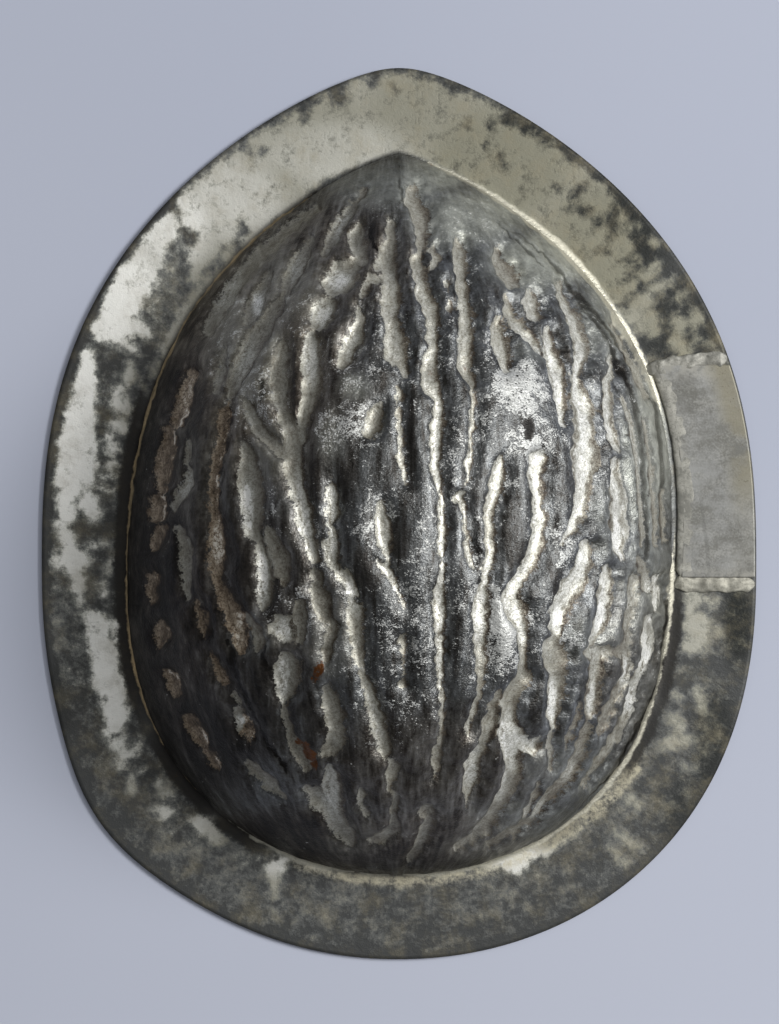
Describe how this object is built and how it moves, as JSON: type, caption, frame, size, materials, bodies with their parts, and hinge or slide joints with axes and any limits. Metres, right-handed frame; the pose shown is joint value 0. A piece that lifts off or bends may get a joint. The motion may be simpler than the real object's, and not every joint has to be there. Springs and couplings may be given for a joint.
{
  "type": "chocolate mould half",
  "caption": "Pressed tinned-steel half of a hollow chocolate walnut mould: furrowed nut-shaped bowl with a flat clamping flange and a soldered flange patch.",
  "frame": {"origin": "under the middle of the part's box, on the flat mating face of the flange", "axes": "+Y along the nut towards its pointed tip, +Z from the mating face up to the crown of the bowl's outside, +X to the side with the patch"},
  "size_m": [0.0894, 0.1114, 0.0304],
  "materials": {
    "tinned_steel": "worn tinplate, dull and bare on the raised plates, bright in the furrows",
    "patch_tinplate": "satin grey tinplate",
    "soft_solder": "dull cream-grey solder"
  },
  "bodies": {
    "root": {"pressed_shell": "tinned_steel", "flange_patch": "patch_tinplate", "solder_run_inner": "soft_solder", "solder_run_lower": "soft_solder", "solder_run_upper": "soft_solder"}
  },
  "joints": []
}
